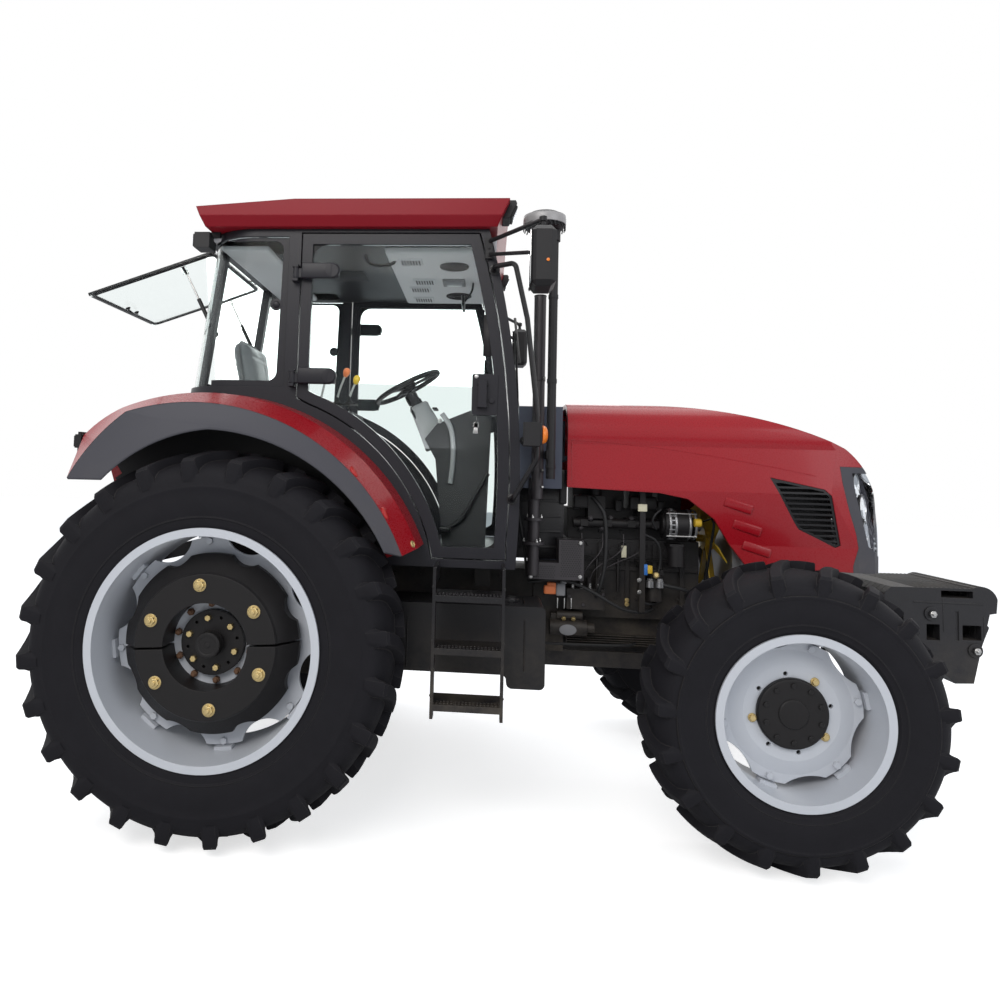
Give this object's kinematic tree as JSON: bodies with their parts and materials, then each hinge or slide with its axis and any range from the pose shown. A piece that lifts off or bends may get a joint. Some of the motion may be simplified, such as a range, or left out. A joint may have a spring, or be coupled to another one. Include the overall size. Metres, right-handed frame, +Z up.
{
  "type": "farm tractor",
  "caption": "Farm tractor with glazed cab, open engine sides, raised rear window, front weights and a rear three-point hitch; wheels, steering, doors and bonnet move.",
  "frame": {"origin": "on the ground, midway between the rear wheels, straight below the rear axle", "axes": "+X forwards, +Y to the left, +Z up"},
  "size_m": [4.7519, 2.42, 2.9685],
  "materials": {
    "tyre": "matte",
    "rim_paint": "satin",
    "black_iron": "satin",
    "grey_iron": "satin",
    "steel": "satin",
    "yellow_plastic": "satin",
    "aluminium": "matte",
    "black_plastic": "matte",
    "black_steel": "satin",
    "glass": "clear",
    "red_paint": "gloss",
    "grey_plastic": "matte",
    "fabric": "woven",
    "lamp": "gloss"
  },
  "bodies": {
    "chassis": {"air_intake": "black_plastic", "auxiliaries": "black_iron", "battery_box": "black_plastic", "cab_frame": "black_steel", "cab_glass": "glass", "cowl": "grey_plastic", "dash": "grey_plastic", "drawbar": "grey_iron", "engine": "black_iron", "exhaust": "steel", "fender_flares": "black_plastic", "fenders": "red_paint", "front_axle": "grey_iron", "front_frame": "grey_iron", "front_weights": "grey_iron", "fuel_tank": "black_plastic", "grab_rails": "black_steel", "lamps": "lamp", "mirrors": "black_plastic", "radiator": "aluminium", "roof": "red_paint", "seat": "fabric", "seat_base": "black_steel", "side_console": "grey_plastic", "steps": "black_steel", "transmission": "grey_iron"},
    "rear_wheel_right": {"rear_tyre_right": "tyre", "rear_rim_right": "rim_paint", "rear_hub_right": "black_iron", "wheel_weight_right": "black_iron"},
    "front_wheel_right": {"front_tyre_right": "tyre", "front_rim_right": "rim_paint", "front_hub_right": "black_iron"},
    "knuckle_right": {"knuckle_right": "grey_iron"},
    "door_right": {"door_right": "black_steel", "door_glass_right": "glass"},
    "rear_wheel_left": {"rear_tyre_left": "tyre", "rear_rim_left": "rim_paint", "rear_hub_left": "black_iron", "wheel_weight_left": "black_iron"},
    "front_wheel_left": {"front_tyre_left": "tyre", "front_rim_left": "rim_paint", "front_hub_left": "black_iron"},
    "knuckle_left": {"knuckle_left": "grey_iron"},
    "door_left": {"door_left": "black_steel", "door_glass_left": "glass"},
    "steering_rod": {"steering_rod": "steel"},
    "steering_wheel": {"steering_wheel": "black_plastic"},
    "fan": {"fan": "yellow_plastic"},
    "bonnet": {"bonnet": "red_paint", "nose": "black_plastic", "grilles": "black_steel", "headlamps": "lamp"},
    "rear_window": {"rear_window": "glass"},
    "strut_tubes": {"strut_tubes": "black_steel"},
    "strut_rods": {"strut_rods": "steel"},
    "lower_links": {"lower_links": "black_steel"},
    "lift_arms": {"lift_arms": "grey_iron"},
    "lift_rods": {"lift_rods": "black_steel"},
    "top_link": {"top_link": "steel"}
  },
  "joints": [
    {"name": "rear_wheel_right_spin", "type": "hinge", "parent": "chassis", "child": "rear_wheel_right", "pos_m": [0, -0.963, 0.845], "axis": [0, 1, 0], "continuous": true},
    {"name": "rear_wheel_left_spin", "type": "hinge", "parent": "chassis", "child": "rear_wheel_left", "pos_m": [0, 0.963, 0.845], "axis": [0, 1, 0], "continuous": true},
    {"name": "steer_right", "type": "hinge", "parent": "chassis", "child": "knuckle_right", "pos_m": [2.49, -0.64, 0.641], "axis": [0, 0, 1], "range_deg": [-45, 45]},
    {"name": "steer_left", "type": "hinge", "parent": "chassis", "child": "knuckle_left", "pos_m": [2.49, 0.64, 0.641], "axis": [0, 0, 1], "range_deg": [-45, 45]},
    {"name": "steering_rod_slide", "type": "slide", "parent": "chassis", "child": "steering_rod", "axis": [0, -1, 0], "range_m": [-0.1212, 0.1212]},
    {"name": "front_wheel_right_spin", "type": "hinge", "parent": "knuckle_right", "child": "front_wheel_right", "pos_m": [2.49, -0.878, 0.641], "axis": [0, 1, 0], "continuous": true},
    {"name": "front_wheel_left_spin", "type": "hinge", "parent": "knuckle_left", "child": "front_wheel_left", "pos_m": [2.49, 0.878, 0.641], "axis": [0, 1, 0], "continuous": true},
    {"name": "steering_wheel_turn", "type": "hinge", "parent": "chassis", "child": "steering_wheel", "pos_m": [0.72, 0, 2.1], "axis": [-0.4695, 0, 0.8829], "range_deg": [-630, 630]},
    {"name": "door_right_hinge", "type": "hinge", "parent": "chassis", "child": "door_right", "pos_m": [0.238, -0.748, 2.3], "axis": [0, 0, -1], "range_deg": [0, 72]},
    {"name": "door_left_hinge", "type": "hinge", "parent": "chassis", "child": "door_left", "pos_m": [0.238, 0.748, 2.3], "axis": [0, 0, 1], "range_deg": [0, 72]},
    {"name": "bonnet_hinge", "type": "hinge", "parent": "chassis", "child": "bonnet", "pos_m": [1.622, 0, 1.952], "axis": [0, -1, 0], "range_deg": [0, 55]},
    {"name": "rear_window_hinge", "type": "hinge", "parent": "chassis", "child": "rear_window", "pos_m": [-0.29, 0, 2.776], "axis": [0, -1, 0], "range_deg": [0, 64]},
    {"name": "strut_tubes_swing", "type": "hinge", "parent": "chassis", "child": "strut_tubes", "pos_m": [-0.298, 0, 2.33], "axis": [0, -1, 0], "range_deg": [-34.47, 0]},
    {"name": "strut_rods_slide", "type": "slide", "parent": "strut_tubes", "child": "strut_rods", "axis": [-0.4635, 0, 0.8861], "range_m": [-0.1466, 0]},
    {"name": "lower_links_lift", "type": "hinge", "parent": "chassis", "child": "lower_links", "pos_m": [-0.15, 0, 0.56], "axis": [0, 1, 0], "range_deg": [-8, 40]},
    {"name": "lift_arms_turn", "type": "hinge", "parent": "chassis", "child": "lift_arms", "pos_m": [-0.21, 0, 1.225], "axis": [0, 1, 0], "range_deg": [-8, 40]},
    {"name": "lift_rods_swing", "type": "hinge", "parent": "lift_arms", "child": "lift_rods", "pos_m": [-0.57871, 0, 1.13307], "axis": [0, 1, 0], "range_deg": [-40, 8]},
    {"name": "top_link_swing", "type": "hinge", "parent": "chassis", "child": "top_link", "pos_m": [-0.39, 0, 0.98], "axis": [0, 1, 0], "range_deg": [-35, 30]},
    {"name": "fan_spin", "type": "hinge", "parent": "chassis", "child": "fan", "pos_m": [2.392, 0, 1.3], "axis": [1, 0, 0], "continuous": true}
  ],
  "couplings": [
    {"joint": "steer_left", "follows": "steer_right", "ratio": 1},
    {"joint": "steering_rod_slide", "follows": "steer_right", "m_per_rad": 0.15305},
    {"joint": "steering_wheel_turn", "follows": "steer_right", "ratio": 14},
    {"joint": "strut_tubes_swing", "follows": "rear_window_hinge", "ratio": -0.53078},
    {"joint": "strut_rods_slide", "follows": "rear_window_hinge", "m_per_rad": -0.13033},
    {"joint": "lift_arms_turn", "follows": "lower_links_lift", "ratio": 1},
    {"joint": "lift_rods_swing", "follows": "lower_links_lift", "ratio": -1}
  ]
}
